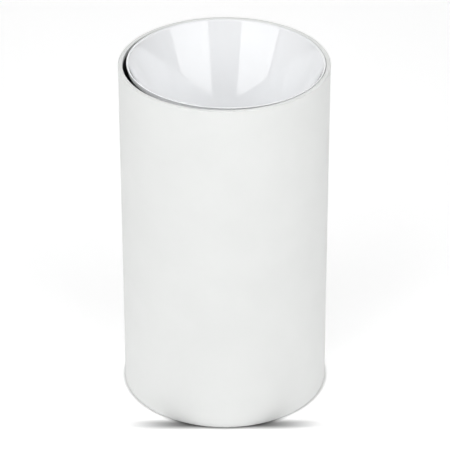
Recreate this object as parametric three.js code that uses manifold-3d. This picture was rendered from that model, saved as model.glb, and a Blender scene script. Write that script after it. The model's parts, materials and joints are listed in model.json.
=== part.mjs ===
// A surface-mounted downlight for one 50 mm GU10 reflector lamp: a plain tube over a ceiling plate, with a
// removable conical reflector in its open end.
// Frame: millimetres, +Z up. z = 0 is the face that meets the ceiling, the axis of the tube is the Z axis and
// the light opening looks along +Z, so the fitting stands on its ceiling face.
// Angles round the axis (azimuths) are in degrees from +X, counter-clockwise seen from the light opening.
import * as THREE from "three";
import { mergeVertices } from "three/addons/utils/BufferGeometryUtils.js";
import Module from "manifold-3d";

// ---- Driving dimensions ----
const TUBE_RADIUS = 37.5;
const TUBE_TOP = 130;
const TUBE_WALL = 1.6;
const TUBE_FOOT = 0.2; // the tube stops this far short of the ceiling
const BORE_RADIUS = TUBE_RADIUS - TUBE_WALL;
const EDGE = 0.35; // chamfer that breaks a turned or sawn edge

const PLATE_RADIUS = 34.3;
const PLATE_THICKNESS = 1.5;
const TAB_HEIGHT = 9;
const TAB_WIDTH = 13;
const KEYHOLE_SPACING = 51; // between the two ceiling screws
const KEYHOLE_HEAD_RADIUS = 4.6;
const KEYHOLE_SLOT_RADIUS = 2.4;
const KEYHOLE_SLOT_LENGTH = 8;
const CABLE_HOLE_X = -11;
const CABLE_HOLE_RADIUS = 7;

const SET_SCREW_RADIUS = 1.5; // M3
const SET_SCREW_LENGTH = 3;
const SET_SCREW_HEIGHT = 3.4;
const SET_SCREW_AZIMUTHS = [30, 150];
const REST_TAB_AZIMUTH = 270; // a plain tab that only centres the tube
const HEX_KEY = 1.5; // across flats

const BRIDGE_THICKNESS = 1.2;
const BRIDGE_WIDTH = 14;
const BRIDGE_TOP = 29.4;
const BRIDGE_HALF_SPAN = 22;
const BRIDGE_FOOT_END = 31;
const BRIDGE_SCREW_Y = 27;

const HOLDER_TOP = 50;
const HOLDER_LENGTH = 30;
const HOLDER_WIDTH = 18;
const HOLDER_SCREW_Y = 6;
const PIN_CIRCLE_RADIUS = 5; // GU10: two pins 10 mm apart
const PIN_HEAD_RADIUS = 2.45;
const PIN_NECK_RADIUS = 1.5;
const PIN_RUNNING_GAP = 0.4;
const LOCK_ANGLE = 24; // turn between dropping the pins in and locked
const HOLDER_LEAD_Y = 3.6;
const HOLDER_LEAD_Z = BRIDGE_TOP + 4.6;
const CONTACT_POCKET_X = 8.1;
const CONTACT_REST_X = 8.9; // middle of a contact strip where it stands in its pocket
const CONTACT_WIDTH = 4;
const CONTACT_THICKNESS = 0.4;
const CAVITY_TOP = HOLDER_TOP - 2.4;
const CAVITY_BOTTOM = HOLDER_TOP - 8;

const LAMP_RADIUS = 25;
const LAMP_NECK_RADIUS = 12.4;
const LAMP_BASE_RADIUS = 9.2;
const LAMP_SPIGOT_RADIUS = 10.2; // on the base, inside the shell
const LAMP_RIM_HEIGHT = 6; // straight part of the shell at its front
const LAMP_WALL = 1.5;
const LENS_SEAT = 4.2; // depth of the lens seat below the lamp's front
const LAMP_BOTTOM = HOLDER_TOP + 0.3;
const LAMP_TOP = 97;

const THROAT_Z = 98.95; // bottom of the reflector's cone
const THROAT_RADIUS = 19.8;
const CONE_HEIGHT = 31.1;
const REFLECTOR_WALL = 1;
const LIP_RADIUS = 35.15;
const LIP_INNER_RADIUS = 34.5;
const LIP_HEIGHT = 0.45;
const LIP_STEP = 0.3; // how far the lip stands out over the neck below it
const BEAD_GROOVE = 0.25; // step between the cone's polished face and the flat of the lip
const COLLAR_RADIUS = 25.8; // inner radius of the collar that sits over the lamp's front
const COLLAR_DEPTH = 4.4;
const REFLECTOR_TILT = 0.7; // the push-in reflector sits a little crooked in the tube
const REFLECTOR_HIGH_SIDE = 190; // azimuth at which its rim stands highest
const REFLECTOR_SHIFT = new THREE.Vector2(0.215, 0.275); // and a little off the tube's axis
const LUG_STAND_OFF = 2.2;
const LUG_HALF_WIDTH = 4.5;
const RIVET_RADIUS = 0.95;
const RIVET_HEAD_RADIUS = 2;
const RIVET_HEAD_GAP = 0.3;
const SPRING_AZIMUTHS = [60, 180, 300];
const SPRING_WIDTH = 7;
const SPRING_THICKNESS = 0.5;
const SPRING_BEND_Z = 0.8; // heights above the throat
const SPRING_CREST_Z = 10;
const SPRING_TIP_Z = 17;

const BLOCK_X = 10;
const BLOCK_LENGTH = 30.5;
const BLOCK_WIDTH = 17;
const BLOCK_HEIGHT = 14;
const POLE_PITCH = 10;
const POLE_Z = 7; // axis of the wire bores above the plate
const CLAMP_SCREW_OFFSET = 4.2;
const BARREL_RADIUS = 2.9;
const BARREL_BORE = 1.7;
const CLAMP_SHANK_RADIUS = 1.45;
const CLAMP_HEAD_RADIUS = 1.85;
const BLOCK_FIXING_SEAT = 4;
const LEAD_RADIUS = 1.1;
const EARTH_SCREW = new THREE.Vector2(15.5, 21.5);
const TAG_AZIMUTH = -40;
const TAG_THICKNESS = 0.8;
const TAG_RING_RADIUS = 3.4;
const TAG_BARREL_RADIUS = 1.9;
const TAG_BARREL_START = 4.8;
const TAG_BARREL_END = 9;

const SCREW_SHANK = 1.45; // M3 with running clearance
const SCREW_HOLE = 1.6;
const SMALL_HEAD = 2.8;
const SMALL_HEAD_HEIGHT = 1.9;

const GAP = 0.1; // clearance between pieces that touch
const FINE = 72; // sides of the large turned pieces
const MEDIUM = 36;
const COARSE = 14;

// ---- Materials ----
function material(color, roughness, metalness) {
  return new THREE.MeshStandardMaterial({ color, roughness, metalness });
}
const POWDER_COAT = material(0xe9eae8, 0.65, 0);
const GLOSS_WHITE = material(0xeef0f4, 0.12, 0);
const ZINC_STEEL = material(0xb4b8bb, 0.38, 1);
const SCREW_STEEL = material(0xc6c6c2, 0.3, 1);
const SPRING_STEEL = material(0x8d9094, 0.28, 1);
const BRASS = material(0xc9a55a, 0.3, 1);
const STEATITE = material(0xe6e0d2, 0.55, 0);
const NYLON = material(0xdedcd4, 0.5, 0);
const RUBBER = material(0x1d1d1f, 0.8, 0);
const LAMP_PLASTIC = material(0xf0f0ee, 0.4, 0);
const LENS_PLASTIC = material(0xdfe8ee, 0.08, 0);
const BOARD = material(0xf4f4f0, 0.45, 0);
const PHOSPHOR = material(0xf2d65a, 0.6, 0);
const LEAD_BROWN = material(0x6b3f22, 0.6, 0);
const LEAD_BLUE = material(0x2f5fa8, 0.6, 0);
const LEAD_GREEN = material(0x4c9a3c, 0.6, 0);
const CIRCUIT_GREEN = material(0x246633, 0.4, 0);

// ---- Solid modelling helpers ----
const wasm = await Module();
wasm.setup();
const radians = THREE.MathUtils.degToRad;

function solidOf(geometry) {
  const bare = geometry.index ? geometry.toNonIndexed() : geometry.clone();
  bare.deleteAttribute("normal");
  bare.deleteAttribute("uv");
  const merged = mergeVertices(bare, 1e-4);
  return new wasm.Manifold(
    new wasm.Mesh({
      numProp: 3,
      vertProperties: merged.attributes.position.array,
      triVerts: new Uint32Array(merged.index.array),
    }),
  );
}

function geometryOf(solid) {
  const mesh = solid.getMesh();
  return new THREE.BufferGeometry()
    .setAttribute("position", new THREE.BufferAttribute(mesh.vertProperties, mesh.numProp))
    .setIndex(new THREE.BufferAttribute(mesh.triVerts, 1));
}

function join(...parts) {
  return geometryOf(parts.map(solidOf).reduce((a, b) => a.add(b)));
}

function cut(body, ...tools) {
  return geometryOf(tools.map(solidOf).reduce((a, b) => a.subtract(b), solidOf(body)));
}

// A body of revolution about Z. The profile is a list of [radius, z], counter-clockwise with the radius to
// the right.
function turned(profile, sides) {
  const points = profile.map(([r, z]) => new THREE.Vector2(r, z));
  if (profile[0][0] > 0) points.push(points[0].clone());
  return new THREE.LatheGeometry(points, sides).rotateX(Math.PI / 2);
}

function drum(radius, bottom, top, sides = COARSE) {
  return new THREE.CylinderGeometry(radius, radius, top - bottom, sides)
    .rotateX(Math.PI / 2)
    .translate(0, 0, (top + bottom) / 2);
}

function slab(x0, x1, y0, y1, z0, z1) {
  const box = new THREE.BoxGeometry(x1 - x0, y1 - y0, z1 - z0);
  return box.translate((x0 + x1) / 2, (y0 + y1) / 2, (z0 + z1) / 2);
}

const lyingAlongX = (geometry) => geometry.rotateY(Math.PI / 2);
const turnedTo = (geometry, azimuth) => geometry.rotateZ(radians(azimuth));

// A bent strip: the middle line runs through corner points in a plane, each corner rounded, and the strip is
// as wide as it is extruded, centred on that plane.
function bentStrip(corners, bend, thickness, width) {
  const path = new THREE.Path();
  path.moveTo(corners[0].x, corners[0].y);
  corners.slice(1, -1).forEach((corner, i) => {
    const before = corners[i].clone().sub(corner).setLength(bend).add(corner);
    const after = corners[i + 2].clone().sub(corner).setLength(bend).add(corner);
    path.lineTo(before.x, before.y);
    path.quadraticCurveTo(corner.x, corner.y, after.x, after.y);
  });
  path.lineTo(corners.at(-1).x, corners.at(-1).y);
  const middle = path.getPoints(4);
  const last = middle.length - 1;
  const side = (sign) =>
    middle.map((p, i) => {
      const ahead = middle[Math.min(i + 1, last)];
      const behind = middle[Math.max(i - 1, 0)];
      const along = ahead.clone().sub(behind).setLength((sign * thickness) / 2);
      return new THREE.Vector2(p.x - along.y, p.y + along.x);
    });
  const outline = new THREE.Shape([...side(-1), ...side(1).reverse()]);
  const strip = new THREE.ExtrudeGeometry(outline, { depth: width, bevelEnabled: false });
  return strip.translate(0, 0, -width / 2);
}

// A round lead or wire along a smooth curve through the given points.
function lead(points, radius) {
  const curve = new THREE.CatmullRomCurve3(points.map((p) => new THREE.Vector3(...p)));
  const circle = new THREE.Path().absarc(0, 0, radius, 0, 2 * Math.PI).getPoints(4);
  const section = new THREE.Shape(circle.slice(0, -1));
  const steps = Math.ceil(curve.getLength() / (4 * radius));
  return new THREE.ExtrudeGeometry(section, { steps, bevelEnabled: false, extrudePath: curve });
}

// A pan-head screw with a cross recess. Its head stands on z = 0 and its shank points down.
function panScrew(shankRadius, shankLength, headRadius, headHeight) {
  const body = turned(
    [
      [0, -shankLength],
      [shankRadius - 0.3, -shankLength],
      [shankRadius, -shankLength + 0.4],
      [shankRadius, 0],
      [headRadius, 0],
      [headRadius, headHeight * 0.45],
      [headRadius * 0.72, headHeight],
      [0, headHeight],
    ],
    COARSE,
  );
  const arm = headRadius * 0.55;
  const slot = headRadius * 0.14;
  const depth = headHeight * 0.5;
  return cut(
    body,
    slab(-arm, arm, -slot, slot, headHeight - depth, headHeight + 1),
    slab(-slot, slot, -arm, arm, headHeight - depth, headHeight + 1),
  );
}

const group = new THREE.Group();
function place(name, geometry, look, parent = group, at = [0, 0, 0]) {
  const mesh = new THREE.Mesh(geometry, look);
  mesh.name = name;
  mesh.position.set(...at);
  parent.add(mesh);
  return mesh;
}

// ---- Housing tube and its set screws ----
function housingTube() {
  const wall = turned(
    [
      [BORE_RADIUS + EDGE, TUBE_FOOT],
      [TUBE_RADIUS - EDGE, TUBE_FOOT],
      [TUBE_RADIUS, TUBE_FOOT + EDGE],
      [TUBE_RADIUS, TUBE_TOP - EDGE],
      [TUBE_RADIUS - EDGE, TUBE_TOP],
      [BORE_RADIUS + EDGE, TUBE_TOP],
      [BORE_RADIUS, TUBE_TOP - EDGE],
      [BORE_RADIUS, TUBE_FOOT + EDGE],
    ],
    FINE,
  );
  const holes = SET_SCREW_AZIMUTHS.map((azimuth) => {
    const hole = lyingAlongX(drum(SET_SCREW_RADIUS + GAP, BORE_RADIUS - 2, TUBE_RADIUS + 2));
    return turnedTo(hole.translate(0, 0, SET_SCREW_HEIGHT), azimuth);
  });
  return cut(wall, ...holes);
}

// The screw lies along X with its socket at the outer end, just under the tube's surface.
function setScrew() {
  const outer = TUBE_RADIUS - GAP;
  const inner = outer - SET_SCREW_LENGTH;
  const chamfer = 0.3;
  const body = turned(
    [
      [0, inner],
      [SET_SCREW_RADIUS - 2 * chamfer, inner],
      [SET_SCREW_RADIUS, inner + 2 * chamfer],
      [SET_SCREW_RADIUS, outer - chamfer],
      [SET_SCREW_RADIUS - chamfer, outer],
      [0, outer],
    ],
    COARSE,
  );
  const socketDepth = SET_SCREW_LENGTH * 0.45;
  const socket = drum(HEX_KEY / Math.sqrt(3), outer - socketDepth, outer + 1, 6);
  return lyingAlongX(cut(body, socket));
}

place("housing_tube", housingTube(), POWDER_COAT);
SET_SCREW_AZIMUTHS.forEach((azimuth, i) => {
  const screw = place("set_screw_" + (i + 1), setScrew(), POWDER_COAT, group, [0, 0, SET_SCREW_HEIGHT]);
  screw.rotation.z = radians(azimuth);
});

// ---- Ceiling plate, grommet and earth point ----
function keyhole(side) {
  const x = (side * KEYHOLE_SPACING) / 2;
  const low = -PLATE_THICKNESS;
  const high = 2 * PLATE_THICKNESS;
  const headY = (-side * KEYHOLE_SLOT_LENGTH) / 2;
  const endY = (side * KEYHOLE_SLOT_LENGTH) / 2;
  return [
    drum(KEYHOLE_HEAD_RADIUS, low, high, 24).translate(x, headY, 0),
    drum(KEYHOLE_SLOT_RADIUS, low, high, 16).translate(x, endY, 0),
    slab(x - KEYHOLE_SLOT_RADIUS, x + KEYHOLE_SLOT_RADIUS, -Math.abs(endY), Math.abs(endY), low, high),
  ];
}

function ceilingPlate() {
  const disc = turned(
    [
      [0, 0],
      [PLATE_RADIUS - EDGE, 0],
      [PLATE_RADIUS, EDGE],
      [PLATE_RADIUS, PLATE_THICKNESS],
      [0, PLATE_THICKNESS],
    ],
    FINE,
  );
  // Three upturned tabs, each a piece of a short ring. Two take the tips of the set screws.
  const ring = turned(
    [
      [PLATE_RADIUS - PLATE_THICKNESS, PLATE_THICKNESS / 2],
      [PLATE_RADIUS, PLATE_THICKNESS / 2],
      [PLATE_RADIUS, TAB_HEIGHT],
      [PLATE_RADIUS - PLATE_THICKNESS, TAB_HEIGHT],
    ],
    FINE,
  );
  const tabs = [...SET_SCREW_AZIMUTHS, REST_TAB_AZIMUTH].map((azimuth) => {
    const sector = slab(0, PLATE_RADIUS + 2, -TAB_WIDTH / 2, TAB_WIDTH / 2, 0, TAB_HEIGHT + 1);
    const window = turnedTo(sector, azimuth);
    return geometryOf(solidOf(ring).intersect(solidOf(window)));
  });
  const through = (x, y) => drum(SCREW_HOLE, -1, PLATE_THICKNESS + 1).translate(x, y, 0);
  return cut(
    join(disc, ...tabs),
    ...keyhole(1),
    ...keyhole(-1),
    drum(CABLE_HOLE_RADIUS, -1, PLATE_THICKNESS + 1, 32).translate(CABLE_HOLE_X, 0, 0),
    through(0, BRIDGE_SCREW_Y),
    through(0, -BRIDGE_SCREW_Y),
    through(EARTH_SCREW.x, EARTH_SCREW.y),
    through(BLOCK_X, POLE_PITCH / 2),
    through(BLOCK_X, -POLE_PITCH / 2),
  );
}

// A rubber bush that lines the cable hole. Its foot stays inside the plate so that the plate lies flat.
function cableGrommet() {
  const bore = 4.6;
  const neck = CABLE_HOLE_RADIUS - GAP;
  const flange = CABLE_HOLE_RADIUS + 1.8;
  const flangeBottom = PLATE_THICKNESS + GAP;
  return turned(
    [
      [bore + 0.6, GAP],
      [neck, GAP],
      [neck, flangeBottom],
      [flange, flangeBottom],
      [flange, flangeBottom + 1.2],
      [flange - 0.8, flangeBottom + 1.9],
      [neck - 0.6, flangeBottom + 2.1],
      [neck - 1, flangeBottom + 3.4],
      [bore + 0.5, flangeBottom + 3.4],
      [bore, flangeBottom + 2.8],
      [bore, GAP + 0.6],
    ],
    32,
  );
}

// A ring tag under the earth screw, with its crimp barrel reaching towards the terminal block.
function earthTag() {
  const ring = cut(drum(TAG_RING_RADIUS, 0, TAG_THICKNESS, 24), drum(SCREW_HOLE + GAP, -1, 2));
  const neck = slab(TAG_RING_RADIUS - 1, TAG_BARREL_START + 0.4, -1.5, 1.5, 0, TAG_THICKNESS);
  const crimp = lyingAlongX(drum(TAG_BARREL_RADIUS, TAG_BARREL_START, TAG_BARREL_END));
  const bore = lyingAlongX(drum(LEAD_RADIUS + 2 * GAP, TAG_BARREL_START + 1.2, TAG_BARREL_END + 1));
  return join(ring, neck, cut(crimp, bore).translate(0, 0, TAG_BARREL_RADIUS));
}

place("ceiling_plate", ceilingPlate(), ZINC_STEEL);
place("cable_grommet", cableGrommet(), RUBBER, group, [CABLE_HOLE_X, 0, 0]);
const earthPoint = new THREE.Group();
earthPoint.position.set(EARTH_SCREW.x, EARTH_SCREW.y, PLATE_THICKNESS + GAP);
group.add(earthPoint);
place("earth_tag", earthTag(), SCREW_STEEL, earthPoint).rotation.z = radians(TAG_AZIMUTH);
place("earth_screw", panScrew(SCREW_SHANK, 2.1, 3, 2), BRASS, earthPoint, [0, 0, TAG_THICKNESS + GAP]);

// ---- Bridge that carries the lampholder ----
function lampBridge() {
  const middle = BRIDGE_THICKNESS / 2;
  const foot = PLATE_THICKNESS + GAP + middle;
  const corners = [
    [-BRIDGE_FOOT_END, foot],
    [-BRIDGE_HALF_SPAN, foot],
    [-BRIDGE_HALF_SPAN, BRIDGE_TOP - middle],
    [BRIDGE_HALF_SPAN, BRIDGE_TOP - middle],
    [BRIDGE_HALF_SPAN, foot],
    [BRIDGE_FOOT_END, foot],
  ].map(([y, z]) => new THREE.Vector2(y, z));
  // The strip is drawn in a plane and then stood up: its first axis becomes Y and its second Z.
  const flat = bentStrip(corners, 2, BRIDGE_THICKNESS, BRIDGE_WIDTH);
  const strip = flat.rotateX(Math.PI / 2).rotateZ(Math.PI / 2);
  const hole = (y, z) => drum(SCREW_HOLE + GAP, z - 3, z + 3).translate(0, y, 0);
  return cut(
    strip,
    hole(BRIDGE_SCREW_Y, foot),
    hole(-BRIDGE_SCREW_Y, foot),
    hole(HOLDER_SCREW_Y, BRIDGE_TOP),
    hole(-HOLDER_SCREW_Y, BRIDGE_TOP),
  );
}

place("lamp_bridge", lampBridge(), ZINC_STEEL);
[-1, 1].forEach((side, i) => {
  const screw = panScrew(SCREW_SHANK, 2.4, SMALL_HEAD, SMALL_HEAD_HEIGHT);
  const seat = PLATE_THICKNESS + BRIDGE_THICKNESS + 2 * GAP;
  place("bridge_screw_" + (i + 1), screw, SCREW_STEEL, group, [0, side * BRIDGE_SCREW_Y, seat]);
});

// ---- GU10 lampholder ----
// Drums along an arc of the pin circle, joined into one bean-shaped cutter. Both pins get one.
function pinTrack(radius, fromAngle, toAngle, bottom, top) {
  const step = 8;
  const drums = [];
  for (let angle = fromAngle; angle <= toAngle; angle += step)
    for (const side of [0, 180])
      drums.push(turnedTo(drum(radius, bottom, top, 12).translate(PIN_CIRCLE_RADIUS, 0, 0), angle + side));
  return drums;
}

function lampholder() {
  const foot = BRIDGE_TOP + GAP;
  const half = HOLDER_WIDTH / 2;
  const centre = HOLDER_LENGTH / 2 - half;
  const oval = new THREE.Shape();
  oval.absarc(centre, 0, half, -Math.PI / 2, Math.PI / 2);
  oval.absarc(-centre, 0, half, Math.PI / 2, (3 * Math.PI) / 2);
  const edge = 1;
  const block = new THREE.ExtrudeGeometry(oval, {
    depth: HOLDER_TOP - foot - 2 * edge,
    bevelThickness: edge,
    bevelSize: edge,
    bevelOffset: -edge,
    bevelSegments: 1,
    curveSegments: 10,
  }).translate(0, 0, foot + edge);
  const head = PIN_HEAD_RADIUS + PIN_RUNNING_GAP;
  const neck = PIN_NECK_RADIUS + PIN_RUNNING_GAP;
  const contactPocket = (side) => {
    const middle = side * CONTACT_POCKET_X;
    const half = CONTACT_WIDTH * 0.6;
    return slab(middle - 1.2, middle + 1.2, -half, half, foot + 6, CAVITY_TOP);
  };
  const screwHole = (side) => drum(SCREW_HOLE, foot - 1, foot + 8).translate(0, side * HOLDER_SCREW_Y, 0);
  const leadHole = (side) =>
    lyingAlongX(drum(LEAD_RADIUS + 0.4, 10, HOLDER_LENGTH)).translate(0, side * HOLDER_LEAD_Y, HOLDER_LEAD_Z);
  return cut(
    block,
    ...pinTrack(head, 0, LOCK_ANGLE, CAVITY_BOTTOM, CAVITY_TOP),
    ...pinTrack(neck, 0, LOCK_ANGLE, CAVITY_TOP - 1, HOLDER_TOP + 1),
    ...pinTrack(head, LOCK_ANGLE, LOCK_ANGLE, CAVITY_TOP - 1, HOLDER_TOP + 1),
    contactPocket(1),
    contactPocket(-1),
    screwHole(1),
    screwHole(-1),
    leadHole(1),
    leadHole(-1),
  );
}

// A folded contact strip that bears on the outside of a pin head.
function holderContact() {
  const foot = BRIDGE_TOP + GAP;
  const corners = [
    [CONTACT_REST_X, foot + 6.4],
    [CONTACT_REST_X, CAVITY_BOTTOM + 1],
    [CONTACT_REST_X - 0.6, CAVITY_BOTTOM + 2.6],
    [CONTACT_REST_X, CAVITY_TOP - 0.6],
  ].map(([x, z]) => new THREE.Vector2(x, z));
  return bentStrip(corners, CONTACT_THICKNESS, CONTACT_THICKNESS, CONTACT_WIDTH).rotateX(Math.PI / 2);
}

place("lampholder_body", lampholder(), STEATITE);
[0, 180].forEach((azimuth, i) => {
  place("holder_contact_" + (i + 1), holderContact(), SCREW_STEEL).rotation.z = radians(azimuth);
});
[-1, 1].forEach((side, i) => {
  const screw = panScrew(SCREW_SHANK, 8, SMALL_HEAD, SMALL_HEAD_HEIGHT).rotateX(Math.PI);
  const seat = BRIDGE_TOP - BRIDGE_THICKNESS - GAP;
  place("holder_screw_" + (i + 1), screw, SCREW_STEEL, group, [0, side * HOLDER_SCREW_Y, seat]);
});

// ---- GU10 lamp ----
const SHELL_BOTTOM = LAMP_BOTTOM + 8;
const SPIGOT_TOP = SHELL_BOTTOM + 3;
const BOARD_Z = LAMP_TOP - 8.6;
const BOARD_THICKNESS = 1.4;

function lampBase() {
  const body = turned(
    [
      [0, LAMP_BOTTOM],
      [LAMP_BASE_RADIUS - 0.6, LAMP_BOTTOM],
      [LAMP_BASE_RADIUS, LAMP_BOTTOM + 0.6],
      [LAMP_BASE_RADIUS, LAMP_BOTTOM + 5.4],
      [LAMP_NECK_RADIUS - 0.2, SHELL_BOTTOM - GAP],
      [LAMP_SPIGOT_RADIUS, SHELL_BOTTOM - GAP],
      [LAMP_SPIGOT_RADIUS, SPIGOT_TOP],
      [0, SPIGOT_TOP],
    ],
    MEDIUM,
  );
  const sockets = [-1, 1].map((side) =>
    drum(PIN_NECK_RADIUS + GAP, LAMP_BOTTOM - 1, LAMP_BOTTOM + 3).translate(side * PIN_CIRCLE_RADIUS, 0, 0),
  );
  return cut(body, ...sockets);
}

function lampPin() {
  const headTop = CAVITY_TOP - 0.7;
  const headBottom = headTop - 3.2;
  return turned(
    [
      [0, headBottom],
      [PIN_HEAD_RADIUS - 0.5, headBottom],
      [PIN_HEAD_RADIUS, headBottom + 0.5],
      [PIN_HEAD_RADIUS, headTop],
      [PIN_NECK_RADIUS, headTop],
      [PIN_NECK_RADIUS, LAMP_BOTTOM + 2.8],
      [0, LAMP_BOTTOM + 2.8],
    ],
    COARSE,
  );
}

// The lamp's bulged body: radius of its outside at a height, a quarter sine from neck to front.
function shellRadius(z, inset) {
  const share = (z - SHELL_BOTTOM) / (LAMP_TOP - LAMP_RIM_HEIGHT - SHELL_BOTTOM);
  const bulge = Math.sin((share * Math.PI) / 2) ** 1.15;
  return LAMP_NECK_RADIUS - inset + (LAMP_RADIUS - LAMP_NECK_RADIUS) * bulge;
}

function lampShell() {
  const steps = 6;
  const front = LAMP_TOP - LAMP_RIM_HEIGHT;
  const inner = LAMP_RADIUS - LAMP_WALL;
  const seat = LAMP_TOP - LENS_SEAT;
  const ledge = BOARD_Z - GAP;
  const ledgeRadius = 18.5;
  const curve = (inset, from, to) =>
    Array.from({ length: steps + 1 }, (_, i) => {
      const z = from + ((to - from) * i) / steps;
      return [shellRadius(z, inset), z];
    });
  return turned(
    [
      ...curve(0, SHELL_BOTTOM, front),
      [LAMP_RADIUS, LAMP_TOP - 0.5],
      [LAMP_RADIUS - 0.5, LAMP_TOP],
      [inner, LAMP_TOP],
      [inner, seat],
      [inner - 2, seat],
      [inner - 2, ledge],
      [ledgeRadius, ledge],
      [ledgeRadius, ledge - 1.5],
      ...curve(LAMP_WALL + 0.4, SHELL_BOTTOM, ledge - 4).reverse(),
    ],
    MEDIUM,
  );
}

function lampLens() {
  const radius = LAMP_RADIUS - LAMP_WALL - GAP;
  const bottom = LAMP_TOP - LENS_SEAT + GAP;
  return turned(
    [
      [0, bottom],
      [radius, bottom],
      [radius, LAMP_TOP - 1.2],
      [radius - 2, LAMP_TOP - 0.8],
      [radius - 2.5, LAMP_TOP - 1.6],
      [14, LAMP_TOP - 1.2],
      [8, LAMP_TOP - 0.8],
      [0, LAMP_TOP - 0.6],
    ],
    MEDIUM,
  );
}

// A round pad of phosphor resin with a bevelled edge.
function ledEmitter() {
  const radius = 5.6;
  const height = 0.9;
  return turned([[0, 0], [radius, 0], [radius, height - 0.3], [radius - 0.6, height], [0, height]], 32);
}

const lamp = new THREE.Group();
group.add(lamp);
place("lamp_base", lampBase(), LAMP_PLASTIC, lamp);
place("lamp_shell", lampShell(), LAMP_PLASTIC, lamp);
place("lamp_lens", lampLens(), LENS_PLASTIC, lamp);
place("led_board", drum(21, BOARD_Z, BOARD_Z + BOARD_THICKNESS, MEDIUM), BOARD, lamp);
place("led_emitter", ledEmitter(), PHOSPHOR, lamp, [0, 0, BOARD_Z + BOARD_THICKNESS + GAP]);
place("driver_board", slab(-8, 8, -0.7, 0.7, SPIGOT_TOP + GAP, BOARD_Z - 2), CIRCUIT_GREEN, lamp);
[1, -1].forEach((side, i) => {
  place("lamp_pin_" + (i + 1), lampPin(), BRASS, lamp, [side * PIN_CIRCLE_RADIUS, 0, 0]);
});

// ---- Reflector with its springs, tilted a little about the middle of its throat ----
// The cone's inside is straight. Its wall keeps one thickness up to a short upright neck under the thin lip.
function reflectorCone() {
  const slope = (LIP_INNER_RADIUS - THROAT_RADIUS) / (CONE_HEIGHT - BEAD_GROOVE);
  const thickness = REFLECTOR_WALL * Math.hypot(1, slope);
  const outsideAt = (z) => THROAT_RADIUS + slope * z + thickness;
  const lipBottom = CONE_HEIGHT - LIP_HEIGHT;
  const neck = LIP_RADIUS - LIP_STEP;
  const neckBottom = (neck - outsideAt(0)) / slope;
  const flange = COLLAR_RADIUS + REFLECTOR_WALL;
  const coneStart = 0.8; // the outside of the cone leaves the flange here
  return turned(
    [
      [THROAT_RADIUS, 0],
      [THROAT_RADIUS, -REFLECTOR_WALL],
      [COLLAR_RADIUS, -REFLECTOR_WALL],
      [COLLAR_RADIUS, -COLLAR_DEPTH],
      [flange, -COLLAR_DEPTH],
      [flange, 0],
      [outsideAt(coneStart), coneStart],
      [neck, neckBottom],
      [neck, lipBottom],
      [LIP_RADIUS, lipBottom + GAP],
      [LIP_RADIUS, CONE_HEIGHT - GAP],
      [LIP_RADIUS - GAP, CONE_HEIGHT],
      [LIP_INNER_RADIUS + BEAD_GROOVE, CONE_HEIGHT],
      [LIP_INNER_RADIUS, CONE_HEIGHT - BEAD_GROOVE],
    ],
    FINE,
  );
}

const LUG_FACE = COLLAR_RADIUS + REFLECTOR_WALL + LUG_STAND_OFF; // radius at which a spring lies on its lug
const RIVET_Z = -COLLAR_DEPTH / 2;

function reflector() {
  const lugs = SPRING_AZIMUTHS.map((azimuth) => {
    const inner = COLLAR_RADIUS + REFLECTOR_WALL / 2;
    const lug = slab(inner, LUG_FACE, -LUG_HALF_WIDTH, LUG_HALF_WIDTH, -COLLAR_DEPTH, 0);
    const hole = lyingAlongX(drum(RIVET_RADIUS + GAP, inner, LUG_FACE + 1, 12)).translate(0, 0, RIVET_Z);
    return turnedTo(cut(lug, hole), azimuth);
  });
  return join(reflectorCone(), ...lugs);
}

// A spring of bent strip: riveted foot, an arm that rises outwards to rub on the tube, and a turned-in tip.
function leafSpring() {
  const root = LUG_FACE + GAP + SPRING_THICKNESS / 2;
  const corners = [
    [root, -COLLAR_DEPTH],
    [root, SPRING_BEND_Z],
    [BORE_RADIUS - 0.9, SPRING_CREST_Z],
    [root + 1.6, SPRING_TIP_Z],
  ].map(([r, z]) => new THREE.Vector2(r, z));
  const strip = bentStrip(corners, 2.4, SPRING_THICKNESS, SPRING_WIDTH).rotateX(Math.PI / 2);
  const hole = lyingAlongX(drum(RIVET_RADIUS + 0.35, root - 2, root + 2, 12)).translate(0, 0, RIVET_Z);
  return cut(strip, hole);
}

function springRivet() {
  const tail = COLLAR_RADIUS + REFLECTOR_WALL + GAP;
  const seat = LUG_FACE + GAP + SPRING_THICKNESS + RIVET_HEAD_GAP;
  const rivet = turned(
    [
      [0, tail],
      [RIVET_RADIUS, tail],
      [RIVET_RADIUS, seat],
      [RIVET_HEAD_RADIUS, seat],
      [RIVET_HEAD_RADIUS * 0.85, seat + 0.7],
      [0, seat + 1],
    ],
    12,
  );
  return lyingAlongX(rivet).translate(0, 0, RIVET_Z);
}

const reflectorGroup = new THREE.Group();
reflectorGroup.position.set(REFLECTOR_SHIFT.x, REFLECTOR_SHIFT.y, THROAT_Z);
const hingeAzimuth = radians(REFLECTOR_HIGH_SIDE - 90);
reflectorGroup.setRotationFromAxisAngle(
  new THREE.Vector3(Math.cos(hingeAzimuth), Math.sin(hingeAzimuth), 0),
  radians(REFLECTOR_TILT),
);
group.add(reflectorGroup);
place("reflector", reflector(), GLOSS_WHITE, reflectorGroup);
SPRING_AZIMUTHS.forEach((azimuth, i) => {
  place("leaf_spring_" + (i + 1), leafSpring(), SPRING_STEEL, reflectorGroup).rotation.z = radians(azimuth);
  place("spring_rivet_" + (i + 1), springRivet(), SCREW_STEEL, reflectorGroup).rotation.z = radians(azimuth);
});

// ---- Terminal block and the leads inside the fitting ----
const BLOCK_BOTTOM = PLATE_THICKNESS + GAP;
const POLES = [-POLE_PITCH, 0, POLE_PITCH];

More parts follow.
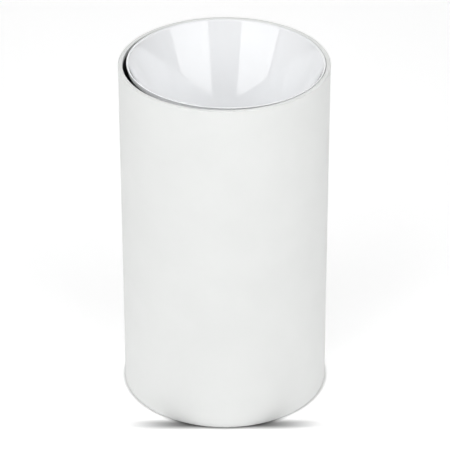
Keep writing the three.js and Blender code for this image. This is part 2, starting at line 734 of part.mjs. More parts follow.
function terminalBlock() {
  const half = BLOCK_WIDTH / 2;
  const shoulder = BLOCK_HEIGHT - 3.5;
  const tower = POLE_PITCH / 2 - 0.8;
  const body = slab(-half, half, -BLOCK_LENGTH / 2, BLOCK_LENGTH / 2, 0, shoulder);
  const towers = POLES.map((y) =>
    slab(-half + 1.6, half - 1.6, y - tower, y + tower, shoulder - 0.5, BLOCK_HEIGHT),
  );
  const bores = POLES.map((y) => {
    return lyingAlongX(drum(BARREL_RADIUS + 0.2, -half - 1, half + 1)).translate(0, y, POLE_Z);
  });
  const wells = POLES.flatMap((y) =>
    [-1, 1].map((side) => {
      const well = drum(CLAMP_HEAD_RADIUS + 0.25, POLE_Z, BLOCK_HEIGHT + 1);
      return well.translate(side * CLAMP_SCREW_OFFSET, y, 0);
    }),
  );
  const fixings = [-1, 1].flatMap((side) => [
    drum(SCREW_HOLE + GAP, -1, BLOCK_HEIGHT).translate(0, (side * POLE_PITCH) / 2, 0),
    drum(SMALL_HEAD + 0.3, BLOCK_FIXING_SEAT, BLOCK_HEIGHT).translate(0, (side * POLE_PITCH) / 2, 0),
  ]);
  return cut(join(body, ...towers), ...bores, ...wells, ...fixings);
}

function terminalBarrel() {
  const half = BLOCK_WIDTH / 2 - 1.2;
  const tap = (side) => drum(CLAMP_SHANK_RADIUS + 0.15, 0, 5).translate(side * CLAMP_SCREW_OFFSET, 0, 0);
  const outside = lyingAlongX(drum(BARREL_RADIUS, -half, half));
  const wireBore = lyingAlongX(drum(BARREL_BORE, -half - 1, half + 1));
  return cut(outside, wireBore, tap(1), tap(-1));
}

// A grub screw with a wider slotted head. z = 0 is the axis of the barrel it clamps in.
function clampScrew() {
  const tip = BARREL_BORE + 0.2;
  const headBottom = 4;
  const headTop = 6.2;
  const screw = turned(
    [
      [0, tip],
      [CLAMP_SHANK_RADIUS, tip],
      [CLAMP_SHANK_RADIUS, headBottom],
      [CLAMP_HEAD_RADIUS, headBottom],
      [CLAMP_HEAD_RADIUS, headTop],
      [0, headTop],
    ],
    16,
  );
  return cut(screw, slab(-2, 2, -0.3, 0.3, headTop - 0.8, headTop + 1));
}

const block = new THREE.Group();
block.position.set(BLOCK_X, 0, BLOCK_BOTTOM);
group.add(block);
place("terminal_block", terminalBlock(), NYLON, block);
POLES.forEach((y, pole) => {
  place("terminal_barrel_" + (pole + 1), terminalBarrel(), BRASS, block, [0, y, POLE_Z]);
  [-1, 1].forEach((side, i) => {
    place("clamp_screw_" + (2 * pole + i + 1), clampScrew(), SCREW_STEEL, block, [
      side * CLAMP_SCREW_OFFSET,
      y,
      POLE_Z,
    ]);
  });
});
[-1, 1].forEach((side, i) => {
  const screw = panScrew(SCREW_SHANK, 5.2, SMALL_HEAD, SMALL_HEAD_HEIGHT);
  const seat = BLOCK_FIXING_SEAT + GAP;
  place("block_screw_" + (i + 1), screw, SCREW_STEEL, block, [0, (side * POLE_PITCH) / 2, seat]);
});

// Each lead leaves its pole along X, rises beside the bridge and ends in its entry on the holder.
const WIRE_Z = BLOCK_BOTTOM + POLE_Z;
const BLOCK_EXIT_X = BLOCK_X + 4.5;
const HOLDER_ENTRY_X = 12;
const liveRoute = [
  [BLOCK_EXIT_X, -POLE_PITCH, WIRE_Z],
  [20, -POLE_PITCH, WIRE_Z],
  [24, -10.5, 14],
  [24, -9, 23],
  [21, -5.5, 31],
  [17.5, -3.7, HOLDER_LEAD_Z],
  [HOLDER_ENTRY_X, -HOLDER_LEAD_Y, HOLDER_LEAD_Z],
];
const neutralRoute = [
  [BLOCK_EXIT_X, 0, WIRE_Z],
  [20, 0, WIRE_Z],
  [24.6, 1, 14],
  [24.8, 3.6, 23],
  [21.5, 4.4, 31],
  [17.5, 3.7, HOLDER_LEAD_Z],
  [HOLDER_ENTRY_X, HOLDER_LEAD_Y, HOLDER_LEAD_Z],
];
// The earth lead drops to the plate and runs into the tag's crimp along the tag's own direction.
const tagDirection = radians(TAG_AZIMUTH);
const onTagAxis = (reach) => [
  EARTH_SCREW.x + reach * Math.cos(tagDirection),
  EARTH_SCREW.y + reach * Math.sin(tagDirection),
  PLATE_THICKNESS + GAP + TAG_BARREL_RADIUS,
];
const earthRoute = [
  [BLOCK_EXIT_X, POLE_PITCH, WIRE_Z],
  [20, POLE_PITCH, WIRE_Z],
  [24.4, 11, 7.4],
  onTagAxis(TAG_BARREL_END + 3.5),
  onTagAxis(TAG_BARREL_END + 0.5),
  onTagAxis(TAG_BARREL_START + 2.2),
];
place("live_lead", lead(liveRoute, LEAD_RADIUS), LEAD_BROWN);
place("neutral_lead", lead(neutralRoute, LEAD_RADIUS), LEAD_BLUE);
place("earth_lead", lead(earthRoute, LEAD_RADIUS), LEAD_GREEN);

export default group;
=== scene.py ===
"""Looks for the surface-mounted cylinder downlight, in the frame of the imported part.

Sizes are in millimetres where a constant below says nothing else, and go into Blender in metres.
Azimuths of the object are in degrees from +X, counter-clockwise seen from the light opening.
"""

import json
import math

import bmesh
import bpy
from mathutils import Matrix, Vector


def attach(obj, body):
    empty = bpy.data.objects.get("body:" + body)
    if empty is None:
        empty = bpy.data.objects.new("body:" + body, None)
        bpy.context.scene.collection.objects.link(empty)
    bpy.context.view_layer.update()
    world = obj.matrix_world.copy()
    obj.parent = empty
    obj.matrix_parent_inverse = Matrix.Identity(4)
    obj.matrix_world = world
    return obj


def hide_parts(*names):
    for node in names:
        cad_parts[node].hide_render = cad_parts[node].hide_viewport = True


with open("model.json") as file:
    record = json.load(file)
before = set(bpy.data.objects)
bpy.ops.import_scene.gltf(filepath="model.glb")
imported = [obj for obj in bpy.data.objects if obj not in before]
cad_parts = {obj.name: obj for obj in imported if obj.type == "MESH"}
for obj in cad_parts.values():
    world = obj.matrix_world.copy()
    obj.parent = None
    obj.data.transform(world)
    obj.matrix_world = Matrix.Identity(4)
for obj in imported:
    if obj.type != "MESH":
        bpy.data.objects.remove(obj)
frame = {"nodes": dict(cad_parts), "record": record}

MM = 0.001

# Camera, from a fit to the outline of the tube. Its sensor and lens are in millimetres too.
CAMERA_DISTANCE = 939 * MM
CAMERA_ELEVATION = math.radians(30.12)
CAMERA_ROLL = math.radians(-0.118)
CAMERA_LENS = 205.8
CAMERA_SENSOR = 36
CAMERA_TARGET = Vector((0.1, 0, 63.9)) * MM

# Housing tube
TUBE_RADIUS = 37.5
TUBE_WALL = 1.6
TUBE_FOOT = 0.2
TUBE_TOP = 130
TUBE_EDGE_ROUNDING = 0.35
BORE_OVERSPRAY = 1.6  # depth of the coat inside the mouth
BORE_TOLERANCE = 0.05
SET_SCREW_HEIGHT = 3.4
SET_SCREW_HOLE = 1.6
SET_SCREW_AZIMUTHS = (30, 150)
DRILL_LENGTH = 8

# Reflector, drawn with the bottom of its cone at z = 0
THROAT_Z = 98.95
THROAT_RADIUS = 19.8
CONE_HEIGHT = 31.1
LIP_RADIUS = 35.15
LIP_INNER_RADIUS = 34.5
LIP_HEIGHT = 0.45
LIP_STEP = 0.3
LIP_UNDERSIDE_RISE = 0.1
BEAD_GROOVE = 0.25
REFLECTOR_WALL = 1.0
REFLECTOR_ROUNDING = 0.15
FLANGE_RISE = 0.8
COLLAR_RADIUS = 25.8
COLLAR_DEPTH = 4.4
LUG_FACE = 29
LUG_HALF_WIDTH = 4.5
LUG_CLEARANCE = 0.02
LUG_AZIMUTHS = (60, 180, 300)
REFLECTOR_TILT = math.radians(0.7)
REFLECTOR_HIGH_SIDE = 190
REFLECTOR_SHIFT = (0.215, 0.275)

# Lens of the lamp: a flat rim, ribs inside it and a dome in the middle
LENS_RADIUS = 23.4
LENS_BOTTOM = 92.9
LENS_TOP = 96.1
LENS_FACE = LENS_TOP - 0.3
LENS_RIM_INNER_RADIUS = 22.2
RIB_COUNT = 9
RIB_OUTER_RADIUS = 21.6
RIB_PITCH = 1.45
RIB_WIDTH = 0.75
RIB_VALLEY = LENS_TOP - 0.9
DOME_RADIUS = 8
DOME_HEIGHT = 1.1
DOME_STEPS = 9
DOME_STEP_ANGLE = 10
LENS_AXIS_HOLE = 0.01  # keeps the swept profile off the axis

# Meshes
SMOOTH_SIDES = 192
LENS_SIDES = 96
ROD_SIDES = 48
ROUNDING_STEPS = 5
ROUNDING_SHARE = 0.45  # the most of an edge that a rounding takes up
ROUNDING_GUARD = 0.25  # distance from a rounding to the point that guards a long face's shading
LONG_FACE = 4 * ROUNDING_GUARD
CREASE_ANGLE = math.radians(35)
WELD_DISTANCE = 0.005
BROKEN_EDGE = 0.12
BROKEN_EDGE_ANGLE = math.radians(40)

# Range of a noise texture's values that the ramps use
NOISE_LOW = 0.3
NOISE_HIGH = 0.7

# Point that every softbox faces, in metres, and the world's faint fill
SOFTBOX_TARGET = Vector((0, 0, 0.07))
WORLD_FILL = 0.02

# Floor: its glow, and the streak of shadow along the front of the foot, solid in the middle
FLOOR_HALF_SIZE = 3000
FLOOR_GLOW = 0.33
FOOT_SHADOW_START = 0.4
FOOT_SHADOW_REACH = 1.1
STREAK_CENTRE_Y = -35
STREAK_SOLID_HALF_LENGTH = 11.5
STREAK_HALF_LENGTH = 45
STREAK_SOLID_HALF_WIDTH = 0.5
STREAK_HALF_WIDTH = 4.9
STREAK_DARKEST = 0.1


# ---- Shader nodes ----


def new_material(name):
    """A material with its nodes and links. Its shader is the node named Principled BSDF."""
    material = bpy.data.materials.new(name)
    material.use_nodes = True
    return material, material.node_tree.nodes, material.node_tree.links


def noise(nodes, links, scale, detail=2.0, stretch=(1, 1, 1)):
    """A noise whose scale is in features per metre, in the shared frame."""
    place = nodes.new("ShaderNodeTexCoord")
    mapping = nodes.new("ShaderNodeMapping")
    mapping.inputs["Scale"].default_value = stretch
    texture = nodes.new("ShaderNodeTexNoise")
    texture.inputs["Scale"].default_value = scale
    texture.inputs["Detail"].default_value = detail
    links.new(place.outputs["Object"], mapping.inputs["Vector"])
    links.new(mapping.outputs["Vector"], texture.inputs["Vector"])
    return texture.outputs["Fac"]


def between(nodes, links, factor, low, high):
    """The factor turned into a number from low to high."""
    ramp = nodes.new("ShaderNodeMapRange")
    ramp.inputs["From Min"].default_value = NOISE_LOW
    ramp.inputs["From Max"].default_value = NOISE_HIGH
    ramp.inputs["To Min"].default_value = low
    ramp.inputs["To Max"].default_value = high
    links.new(factor, ramp.inputs["Value"])
    return ramp.outputs["Result"]


def shades(nodes, links, factor, dark, light):
    """The factor turned into a colour from dark to light."""
    ramp = nodes.new("ShaderNodeValToRGB")
    ramp.color_ramp.elements[0].position = NOISE_LOW
    ramp.color_ramp.elements[0].color = (*dark, 1)
    ramp.color_ramp.elements[1].position = NOISE_HIGH
    ramp.color_ramp.elements[1].color = (*light, 1)
    links.new(factor, ramp.inputs["Fac"])
    return ramp.outputs["Color"]


def bumped(nodes, links, height, distance):
    """A normal for relief of the given height, whose full depth is distance, in metres."""
    bump = nodes.new("ShaderNodeBump")
    bump.inputs["Distance"].default_value = distance
    bump.inputs["Strength"].default_value = 1
    links.new(height, bump.inputs["Height"])
    return bump.outputs["Normal"]


def surface(
    name, dark, light, rough, grain, depth, patch=60, metallic=0.0, detail=2.0, stretch=(1, 1, 1)
):
    """A material with slow colour patches and a fine grain.

    The colour goes from dark to light in patches, `patch` of them to the metre. The grain has `grain`
    features to the metre, is `depth` metres deep and also varies the roughness within the pair `rough`.
    `detail` and `stretch` shape the grain.
    """
    material, nodes, links = new_material(name)
    shader = nodes["Principled BSDF"]
    shader.inputs["Metallic"].default_value = metallic
    slow = noise(nodes, links, patch, 3.0)
    fine = noise(nodes, links, grain, detail, stretch)
    links.new(shades(nodes, links, slow, dark, light), shader.inputs["Base Color"])
    links.new(between(nodes, links, fine, *rough), shader.inputs["Roughness"])
    links.new(bumped(nodes, links, fine, depth), shader.inputs["Normal"])
    return material


# ---- Materials: one for each slot of the record, and one for the bare bore of the tube, darkened as painted shade ----


def powder_coat():
    dark = (0.78, 0.79, 0.78)
    light = (0.80, 0.81, 0.80)
    return surface("powder_coat", dark, light, (0.5, 0.62), 2200, 0.00004)


def bare_aluminium_painted_shade():
    """The extrusion's bore, uncoated below its mouth; its metal is darkened far below bare aluminium as
    painted shade in the gap round the reflector.
    """
    dark = (0.16, 0.16, 0.17)
    light = (0.24, 0.24, 0.25)
    return surface("bare_aluminium_painted_shade", dark, light, (0.45, 0.6), 700, 0.00001, 90, 0.8, 4.0, (1, 1, 0.05))


def gloss_white():
    """Polished white plastic. The coat is the harder, smoother skin of the moulding."""
    dark = (0.925, 0.935, 0.95)
    light = (0.94, 0.95, 0.965)
    material = surface("gloss_white", dark, light, (0.015, 0.03), 90, 0.00001)
    shader = material.node_tree.nodes["Principled BSDF"]
    shader.inputs["Coat Weight"].default_value = 1.0
    shader.inputs["Coat Roughness"].default_value = 0.01
    return material


def zinc_steel():
    dark = (0.50, 0.52, 0.54)
    light = (0.68, 0.69, 0.70)
    return surface("zinc_steel", dark, light, (0.26, 0.48), 260, 0.00002, 140, 1.0, 5.0)


def screw_steel():
    dark = (0.60, 0.60, 0.58)
    light = (0.74, 0.74, 0.72)
    return surface("screw_steel", dark, light, (0.2, 0.38), 3200, 0.00001, 400, 1.0)


def spring_steel():
    dark = (0.34, 0.35, 0.37)
    light = (0.50, 0.51, 0.53)
    return surface("spring_steel", dark, light, (0.2, 0.36), 900, 0.00001, 200, 1.0, 3.0, (1, 1, 0.06))


def brass():
    dark = (0.62, 0.44, 0.16)
    light = (0.78, 0.60, 0.28)
    return surface("brass", dark, light, (0.22, 0.4), 2400, 0.00001, 300, 1.0)


def steatite():
    dark = (0.72, 0.68, 0.58)
    light = (0.80, 0.77, 0.69)
    return surface("steatite", dark, light, (0.42, 0.62), 3500, 0.00003, 180)


def nylon():
    dark = (0.72, 0.71, 0.66)
    light = (0.77, 0.76, 0.71)
    material = surface("nylon", dark, light, (0.38, 0.5), 1800, 0.00001, 90)
    shader = material.node_tree.nodes["Principled BSDF"]
    shader.inputs["Subsurface Weight"].default_value = 0.15
    shader.inputs["Subsurface Radius"].default_value = (0.002, 0.002, 0.0015)
    return material


def rubber():
    dark = (0.015, 0.015, 0.016)
    light = (0.03, 0.03, 0.032)
    return surface("rubber", dark, light, (0.6, 0.85), 1600, 0.00004, 120)


def lamp_plastic():
    dark = (0.83, 0.83, 0.81)
    light = (0.87, 0.87, 0.85)
    return surface("lamp_plastic", dark, light, (0.28, 0.4), 1400, 0.00001, 70)


def lens_plastic():
    material, nodes, links = new_material("lens_plastic")
    shader = nodes["Principled BSDF"]
    shader.inputs["Base Color"].default_value = (0.94, 0.96, 0.97, 1)
    shader.inputs["Transmission Weight"].default_value = 0.85
    shader.inputs["IOR"].default_value = 1.49
    fine = noise(nodes, links, 700)
    links.new(between(nodes, links, fine, 0.04, 0.14), shader.inputs["Roughness"])
    links.new(bumped(nodes, links, fine, 0.00001), shader.inputs["Normal"])
    return material


def board():
    dark = (0.84, 0.84, 0.80)
    light = (0.88, 0.88, 0.85)
    return surface("board", dark, light, (0.3, 0.45), 1500, 0.00001, 150)


def phosphor():
    dark = (0.84, 0.58, 0.10)
    light = (0.90, 0.68, 0.17)
    return surface("phosphor", dark, light, (0.4, 0.6), 4000, 0.00002, 800)


def driver():
    dark = (0.015, 0.16, 0.04)
    light = (0.03, 0.24, 0.07)
    return surface("driver", dark, light, (0.25, 0.45), 900, 0.00002, 500)


def lead_sleeve(name, dark, light):
    return surface(name, dark, light, (0.45, 0.65), 2600, 0.00004, 350)


def earth_sleeve():
    """Green with yellow bands that wind round the lead."""
    material, nodes, links = new_material("lead_green")
    shader = nodes["Principled BSDF"]
    place = nodes.new("ShaderNodeTexCoord")
    bands = nodes.new("ShaderNodeTexWave")
    bands.inputs["Scale"].default_value = 130
    bands.inputs["Distortion"].default_value = 0.4
    links.new(place.outputs["Object"], bands.inputs["Vector"])
    colour = shades(nodes, links, bands.outputs["Fac"], (0.05, 0.30, 0.06), (0.72, 0.62, 0.05))
    fine = noise(nodes, links, 2600)
    links.new(colour, shader.inputs["Base Color"])
    links.new(between(nodes, links, fine, 0.45, 0.65), shader.inputs["Roughness"])
    links.new(bumped(nodes, links, fine, 0.00004), shader.inputs["Normal"])
    return material


def make_materials():
    return {
        "powder_coat": powder_coat(),
        "bare_aluminium_painted_shade": bare_aluminium_painted_shade(),
        "gloss_white": gloss_white(),
        "zinc_steel": zinc_steel(),
        "screw_steel": screw_steel(),
        "spring_steel": spring_steel(),
        "brass": brass(),
        "steatite": steatite(),
        "nylon": nylon(),
        "rubber": rubber(),
        "lamp_plastic": lamp_plastic(),
        "lens_plastic": lens_plastic(),
        "board": board(),
        "phosphor": phosphor(),
        "driver": driver(),
        "lead_brown": lead_sleeve("lead_brown", (0.13, 0.05, 0.02), (0.19, 0.08, 0.035)),
        "lead_blue": lead_sleeve("lead_blue", (0.02, 0.09, 0.32), (0.035, 0.14, 0.42)),
        "lead_green": earth_sleeve(),
    }


# ---- Meshes ----


def rounded(profile, radius):
    """The closed profile of (radius, z) with every corner rounded.

    A point on each side of a rounding keeps the shading of the long faces true to their slope.
    """
    points = []
    count = len(profile)
    for i, corner in enumerate(profile):
        corner = Vector(corner)
        before = Vector(profile[i - 1]) - corner
        after = Vector(profile[(i + 1) % count]) - corner
        reach = min(radius, before.length * ROUNDING_SHARE, after.length * ROUNDING_SHARE)
        start = corner + before.normalized() * reach
        end = corner + after.normalized() * reach
        if before.length > LONG_FACE:
            points.append(start + before.normalized() * ROUNDING_GUARD)
        for step in range(ROUNDING_STEPS + 1):
            t = step / ROUNDING_STEPS
            points.append(start * (1 - t) ** 2 + corner * (2 * t * (1 - t)) + end * t**2)
        if after.length > LONG_FACE:
            points.append(end + after.normalized() * ROUNDING_GUARD)
    return points


def turned(profile, sides=SMOOTH_SIDES):
    """A bmesh ring swept round Z from a closed profile, in millimetres."""
    mesh = bmesh.new()
    rings = []
    for side in range(sides):
        angle = 2 * math.pi * side / sides
        cosine = math.cos(angle)
        sine = math.sin(angle)
        rings.append([mesh.verts.new((p.x * cosine, p.x * sine, p.y)) for p in profile])
    for side, ring in enumerate(rings):
        following = rings[(side + 1) % sides]
        for i in range(len(profile)):
            j = (i + 1) % len(profile)
            mesh.faces.new((ring[i], following[i], following[j], ring[j]))
    bmesh.ops.recalc_face_normals(mesh, faces=mesh.faces)
    return mesh


def about_z(azimuth):
    return Matrix.Rotation(math.radians(azimuth), 4, "Z")


def to_object(name, mesh, placement=Matrix.Identity(4)):
    """The bmesh, drawn in millimetres, as a smooth-shaded object in metres."""
    bmesh.ops.transform(mesh, matrix=Matrix.Scale(MM, 4) @ placement, verts=mesh.verts)
    data = bpy.data.meshes.new(name)
    mesh.to_mesh(data)
    mesh.free()
    data.polygons.foreach_set("use_smooth", [True] * len(data.polygons))
    made = bpy.data.objects.new(name, data)
    bpy.context.scene.collection.objects.link(made)
    return made


def rod(radius, length):
    """A cylinder along Z, centred on the origin."""
    mesh = bmesh.new()
    bmesh.ops.create_cone(
        mesh, cap_ends=True, segments=ROD_SIDES, radius1=radius, radius2=radius, depth=length
    )
    return mesh


def brick(size):
    """A box centred on the origin."""
    mesh = bmesh.new()
    bmesh.ops.create_cube(mesh, size=1, matrix=Matrix.Diagonal((*size, 1)))
    return mesh


def combine(target, operation, tools):
    """Applies each tool to target with an exact boolean and removes the tools."""
    for tool in tools:
        step = target.modifiers.new(tool.name, "BOOLEAN")
        step.operation = operation
        step.object = tool
        step.solver = "EXACT"
    graph = bpy.context.evaluated_depsgraph_get()
    result = bpy.data.meshes.new_from_object(target.evaluated_get(graph))
    target.modifiers.clear()
    target.data = result
    for tool in tools:
        bpy.data.objects.remove(tool)


def finish_piece(made, body, slot, materials, node):
    """Gives the piece its material and crisp edges, and puts it on its body for the CAD node."""
    made.data.materials.clear()
    made.data.materials.append(materials[slot])
    made.data.set_sharp_from_angle(angle=CREASE_ANGLE)
    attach(made, body)
    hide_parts(node)


# ---- Pieces that are redrawn with finer curves ----


def housing(materials):
    """The tube with its two set screw holes, coated except inside the bore below the mouth, whose bare
    metal is darkened as painted shade.
    """
    inner = TUBE_RADIUS - TUBE_WALL
    section = [(inner, TUBE_FOOT), (TUBE_RADIUS, TUBE_FOOT), (TUBE_RADIUS, TUBE_TOP), (inner, TUBE_TOP)]
    coat_ends = Vector((inner, TUBE_TOP - BORE_OVERSPRAY))
    tube = to_object("tube", turned([*rounded(section, TUBE_EDGE_ROUNDING), coat_ends]))
    lying = Matrix.Rotation(math.pi / 2, 4, "Y")
    outwards = Matrix.Translation((TUBE_RADIUS, 0, SET_SCREW_HEIGHT)) @ lying
    drills = []
    for azimuth in SET_SCREW_AZIMUTHS:
        shape = rod(SET_SCREW_HOLE, DRILL_LENGTH)
        drills.append(to_object("drill", shape, about_z(azimuth) @ outwards))
    combine(tube, "DIFFERENCE", drills)
    finish_piece(tube, "housing", "powder_coat", materials, "housing_tube")
    # The bore below the mouth gets the dark bare metal; its darkness is painted shade in the gap round
    # the reflector.
    tube.data.materials.append(materials["bare_aluminium_painted_shade"])
    for face in tube.data.polygons:
        in_bore = math.hypot(face.center.x, face.center.y) < (inner + BORE_TOLERANCE) * MM
        if in_bore and face.center.z < coat_ends.y * MM:
            face.material_index = 1


def reflector_place():
    """The reflector is drawn with its throat at the origin, then tilted and lifted into the tube."""
    azimuth = math.radians(REFLECTOR_HIGH_SIDE - 90)
    hinge = Vector((math.cos(azimuth), math.sin(azimuth), 0))
    return Matrix.Translation((*REFLECTOR_SHIFT, THROAT_Z)) @ Matrix.Rotation(REFLECTOR_TILT, 4, hinge)


def reflector_section():
    """The closed profile of (radius, z): throat, collar, back of the cone, neck, lip and its bead."""
    slope = (LIP_INNER_RADIUS - THROAT_RADIUS) / (CONE_HEIGHT - BEAD_GROOVE)
    thick = REFLECTOR_WALL * math.hypot(1, slope)
    lip_bottom = CONE_HEIGHT - LIP_HEIGHT
    flange = COLLAR_RADIUS + REFLECTOR_WALL
    neck = LIP_RADIUS - LIP_STEP
    return [
        (THROAT_RADIUS, 0),
        (THROAT_RADIUS, -REFLECTOR_WALL),
        (COLLAR_RADIUS, -REFLECTOR_WALL),
        (COLLAR_RADIUS, -COLLAR_DEPTH),
        (flange, -COLLAR_DEPTH),
        (flange, 0),
        (THROAT_RADIUS + slope * FLANGE_RISE + thick, FLANGE_RISE),
        (neck, (neck - thick - THROAT_RADIUS) / slope),
        (neck, lip_bottom),
        (LIP_RADIUS, lip_bottom + LIP_UNDERSIDE_RISE),
        (LIP_RADIUS, CONE_HEIGHT),
        (LIP_INNER_RADIUS + BEAD_GROOVE, CONE_HEIGHT),
        (LIP_INNER_RADIUS + BEAD_GROOVE, CONE_HEIGHT - BEAD_GROOVE),
        (LIP_INNER_RADIUS, CONE_HEIGHT - BEAD_GROOVE),
    ]


def reflector(materials):
    """The turned cone with a lug for each leaf spring on its collar."""
    place = reflector_place()
    profile = rounded(reflector_section(), REFLECTOR_ROUNDING)
    cone = to_object("cone", turned(profile), place)
    lug_back = COLLAR_RADIUS + REFLECTOR_WALL / 2
    middle = Matrix.Translation(((LUG_FACE + lug_back) / 2, 0, -COLLAR_DEPTH / 2))
    lugs = []
    for azimuth in LUG_AZIMUTHS:
        shape = brick((LUG_FACE - lug_back, 2 * LUG_HALF_WIDTH, COLLAR_DEPTH - LUG_CLEARANCE))
        lugs.append(to_object("lug", shape, place @ about_z(azimuth) @ middle))
    combine(cone, "UNION", lugs)
    finish_piece(cone, "reflector_unit", "gloss_white", materials, "reflector")


def lens_section():
    """The closed profile of (radius, z), from the axis out along the back and in over the face."""
    profile = [
        (LENS_AXIS_HOLE, LENS_BOTTOM),
        (LENS_RADIUS, LENS_BOTTOM),
        (LENS_RADIUS, LENS_FACE),
        (LENS_RIM_INNER_RADIUS, LENS_FACE),
    ]
    for rib in range(RIB_COUNT):
        outer = RIB_OUTER_RADIUS - rib * RIB_PITCH
        profile.append((outer, RIB_VALLEY))
        profile.append((outer - RIB_WIDTH, LENS_FACE))
    for step in range(DOME_STEPS):
        angle = math.radians(DOME_STEP_ANGLE * (step + 0.5))
        radius = max(DOME_RADIUS * math.cos(angle), LENS_AXIS_HOLE)
        profile.append((radius, LENS_TOP - DOME_HEIGHT + DOME_HEIGHT * math.sin(angle)))
    return [Vector(point) for point in profile]


def lens(materials):
    """A moulded optic with fine ribs round a dome."""
    optic = to_object("lens", turned(lens_section(), LENS_SIDES))
    finish_piece(optic, "lamp", "lens_plastic", materials, "lamp_lens")


# ---- Nodes that keep their CAD mesh ----


def dress_node(node, material):
    """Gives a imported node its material, welded facets and broken edges."""
    node.data.materials.clear()
    node.data.materials.append(material)
    node.data.polygons.foreach_set("use_smooth", [True] * len(node.data.polygons))
    weld = node.modifiers.new("weld", "WELD")
    weld.merge_threshold = WELD_DISTANCE * MM
    bevel = node.modifiers.new("bevel", "BEVEL")
    bevel.width = BROKEN_EDGE * MM
    bevel.segments = 2
    bevel.limit_method = "ANGLE"
    bevel.angle_limit = BROKEN_EDGE_ANGLE
    bevel.harden_normals = True


def dress_nodes(materials):
    slots = {entry["node"]: entry["material_slot"] for entry in frame["record"]["subparts"]}
    for name, node in frame["nodes"].items():
        dress_node(node, materials[slots[name]])


# ---- Stage ----


def band(nodes, links, position, centre, solid, edge):
    """1 within `solid` of the centre, fading smoothly to 0 at `edge` from it."""
    offset = nodes.new("ShaderNodeMath")
    offset.operation = "SUBTRACT"
    offset.inputs[1].default_value = centre * MM
    distance = nodes.new("ShaderNodeMath")
    distance.operation = "ABSOLUTE"
    fade = nodes.new("ShaderNodeMapRange")
    fade.interpolation_type = "SMOOTHSTEP"
    fade.inputs["From Min"].default_value = solid * MM
    fade.inputs["From Max"].default_value = edge * MM
    fade.inputs["To Min"].default_value = 1
    fade.inputs["To Max"].default_value = 0
    links.new(position, offset.inputs[0])
    links.new(offset.outputs["Value"], distance.inputs[0])
    links.new(distance.outputs["Value"], fade.inputs["Value"])
    return fade.outputs["Result"]


def contact_shadow(nodes, links):
    """STREAK_DARKEST in a soft, narrow shadow along the front of the foot, and 1 away from it."""
    place = nodes.new("ShaderNodeTexCoord")
    split = nodes.new("ShaderNodeSeparateXYZ")
    links.new(place.outputs["Object"], split.inputs["Vector"])
    along = band(nodes, links, split.outputs["X"], 0, STREAK_SOLID_HALF_LENGTH, STREAK_HALF_LENGTH)
    across = band(
        nodes, links, split.outputs["Y"], STREAK_CENTRE_Y, STREAK_SOLID_HALF_WIDTH, STREAK_HALF_WIDTH
    )
    darkness = nodes.new("ShaderNodeMath")
    darkness.operation = "MULTIPLY"
    links.new(along, darkness.inputs[0])
    links.new(across, darkness.inputs[1])
    shade = nodes.new("ShaderNodeMapRange")
    shade.inputs["To Min"].default_value = 1
    shade.inputs["To Max"].default_value = STREAK_DARKEST
    links.new(darkness.outputs["Value"], shade.inputs["Value"])
    return shade.outputs["Result"]


def foot_glow(nodes, links):
    """The floor's glow, which fades out close round the foot of the object as a painted shade ring at
    the foot.
    """
    place = nodes.new("ShaderNodeTexCoord")
    reach = nodes.new("ShaderNodeVectorMath")
    reach.operation = "LENGTH"
    fade = nodes.new("ShaderNodeMapRange")
    fade.inputs["From Min"].default_value = (TUBE_RADIUS + FOOT_SHADOW_START) * MM
    fade.inputs["From Max"].default_value = (TUBE_RADIUS + FOOT_SHADOW_REACH) * MM
    fade.inputs["To Max"].default_value = FLOOR_GLOW
    links.new(place.outputs["Object"], reach.inputs[0])
    links.new(reach.outputs["Value"], fade.inputs["Value"])
    return fade.outputs["Result"]


def floor():
    """A pale floor that glows a little, like a light table, so that it stays white round the object."""
    mesh = bmesh.new()
    bmesh.ops.create_grid(mesh, x_segments=1, y_segments=1, size=FLOOR_HALF_SIZE)
    ground = to_object("floor", mesh)
    dark = (0.95, 0.95, 0.95)
    light = (0.96, 0.96, 0.96)
    material = surface("floor", dark, light, (0.7, 0.8), 40, 0.0, 5)
    nodes = material.node_tree.nodes
    links = material.node_tree.links
    shader = nodes["Principled BSDF"]
    shadow = contact_shadow(nodes, links)

    colour = nodes.new("ShaderNodeVectorMath")
    colour.operation = "SCALE"
    links.new(shader.inputs["Base Color"].links[0].from_socket, colour.inputs[0])
    links.new(shadow, colour.inputs["Scale"])
    links.new(colour.outputs["Vector"], shader.inputs["Base Color"])

    glow = nodes.new("ShaderNodeMath")
    glow.operation = "MULTIPLY"
    links.new(foot_glow(nodes, links), glow.inputs[0])
    links.new(shadow, glow.inputs[1])
    shader.inputs["Emission Color"].default_value = (1, 1, 1, 1)
    links.new(glow.outputs["Value"], shader.inputs["Emission Strength"])

    ground.data.materials.append(material)


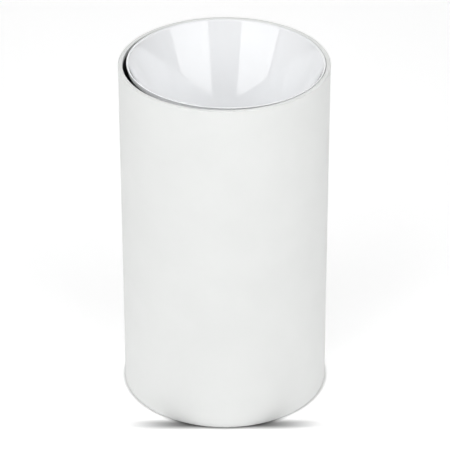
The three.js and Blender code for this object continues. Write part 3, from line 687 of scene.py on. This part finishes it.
def softbox(name, azimuth, elevation, distance, size, power):
    """A white area light that faces the middle of the object.

    Its azimuth is in degrees from the camera's side (-Y), counter-clockwise seen from above. Its
    distance and size are in metres.
    """
    a = math.radians(azimuth)
    e = math.radians(elevation)
    light = bpy.data.lights.new(name, "AREA")
    light.shape = "RECTANGLE"
    light.size, light.size_y = size
    light.energy = power
    lamp = bpy.data.objects.new(name, light)
    bpy.context.scene.collection.objects.link(lamp)
    back = Vector((math.sin(a) * math.cos(e), -math.cos(a) * math.cos(e), math.sin(e)))
    lamp.location = SOFTBOX_TARGET + back * distance
    lamp.rotation_mode = "QUATERNION"
    lamp.rotation_quaternion = (-back).to_track_quat("-Z", "Y")


def lights():
    softbox("overhead", 0, 88, 1.5, (2.2, 2.2), 4.1)
    softbox("left_box", -43.5, 34, 0.9, (0.71, 0.8), 3.2)
    softbox("right_box", 47.5, 34, 0.9, (0.71, 0.8), 3.05)
    softbox("front_fill", 0, 60, 0.45, (0.3, 0.25), 0.5)
    softbox("left_side", -95, 25, 0.9, (0.8, 0.8), 1.25)
    softbox("right_side", 95, 25, 0.9, (0.8, 0.8), 0.7)
    softbox("back_box", 180, 40, 1.0, (0.8, 0.6), 2.4)


def surroundings():
    """A faint white fill from all round, and colours shown without a film look."""
    world = bpy.data.worlds.new("studio")
    bpy.context.scene.world = world
    world.use_nodes = True
    background = world.node_tree.nodes["Background"]
    background.inputs["Color"].default_value = (1, 1, 1, 1)
    background.inputs["Strength"].default_value = WORLD_FILL
    bpy.context.scene.view_settings.view_transform = "Standard"


def camera():
    """The camera on the -Y side, aimed at CAMERA_TARGET."""
    data = bpy.data.cameras.new("camera")
    data.sensor_width = CAMERA_SENSOR
    data.lens = CAMERA_LENS
    eye = bpy.data.objects.new("camera", data)
    bpy.context.scene.collection.objects.link(eye)
    back = Vector((0, -math.cos(CAMERA_ELEVATION), math.sin(CAMERA_ELEVATION)))
    eye.location = CAMERA_TARGET + back * CAMERA_DISTANCE
    eye.rotation_mode = "QUATERNION"
    roll = Matrix.Rotation(CAMERA_ROLL, 4, "Z").to_quaternion()
    eye.rotation_quaternion = (-back).to_track_quat("-Z", "Y") @ roll
    bpy.context.scene.camera = eye


def main():
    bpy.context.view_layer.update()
    materials = make_materials()
    dress_nodes(materials)
    housing(materials)
    reflector(materials)
    lens(materials)
    floor()
    lights()
    surroundings()
    camera()


main()
